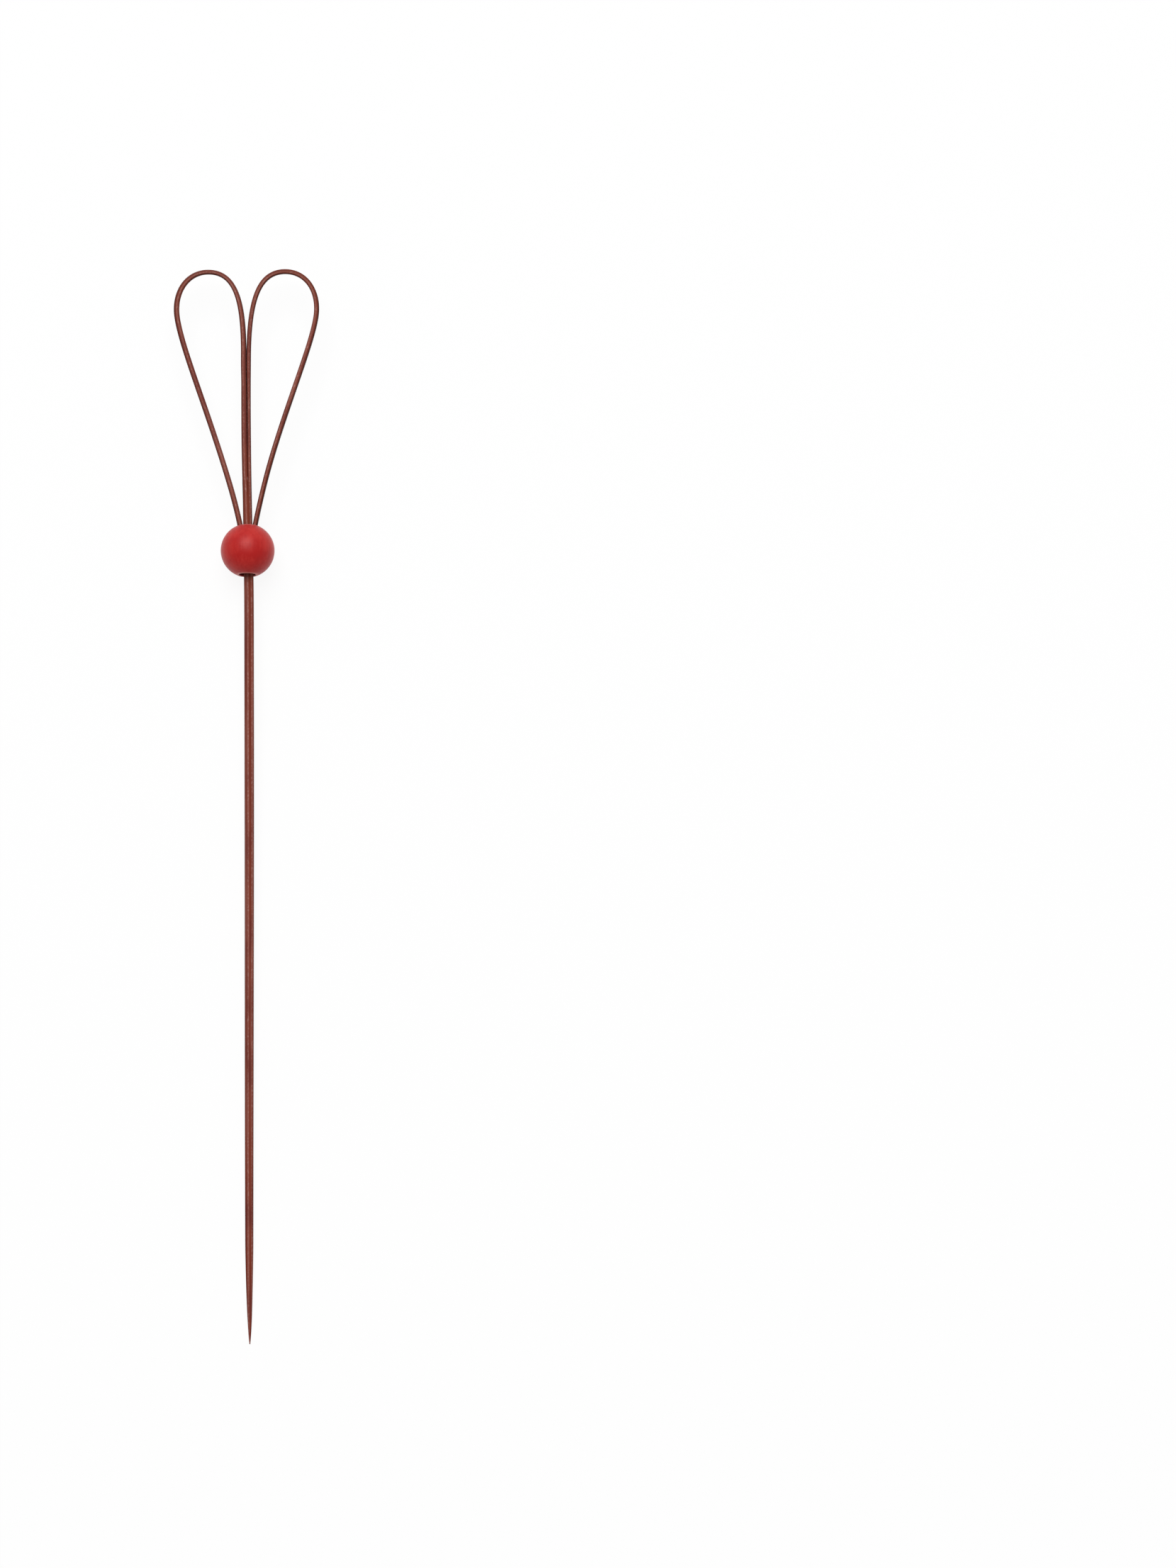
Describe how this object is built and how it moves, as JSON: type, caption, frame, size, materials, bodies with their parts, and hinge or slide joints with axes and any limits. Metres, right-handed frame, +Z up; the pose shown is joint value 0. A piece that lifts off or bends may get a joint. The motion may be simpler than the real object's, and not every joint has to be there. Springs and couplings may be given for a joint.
{
  "type": "cocktail pick",
  "caption": "Slim sharpened bamboo pick whose split end is bent into a heart-like pair of loops, tucked into a red wooden bead.",
  "frame": {"origin": "middle of the bounding box's bottom, on the table under the resting pick", "axes": "+Y along the pick from its point to its loops, +X across the loops, +Z up from the table"},
  "size_m": [0.0162, 0.12, 0.006],
  "materials": {
    "dyed_bamboo": "dyed reddish brown, satin, fine grain along the stick",
    "painted_bead": "red paint, satin"
  },
  "bodies": {
    "root": {"bamboo_pick": "dyed_bamboo", "bead": "painted_bead"}
  },
  "joints": []
}
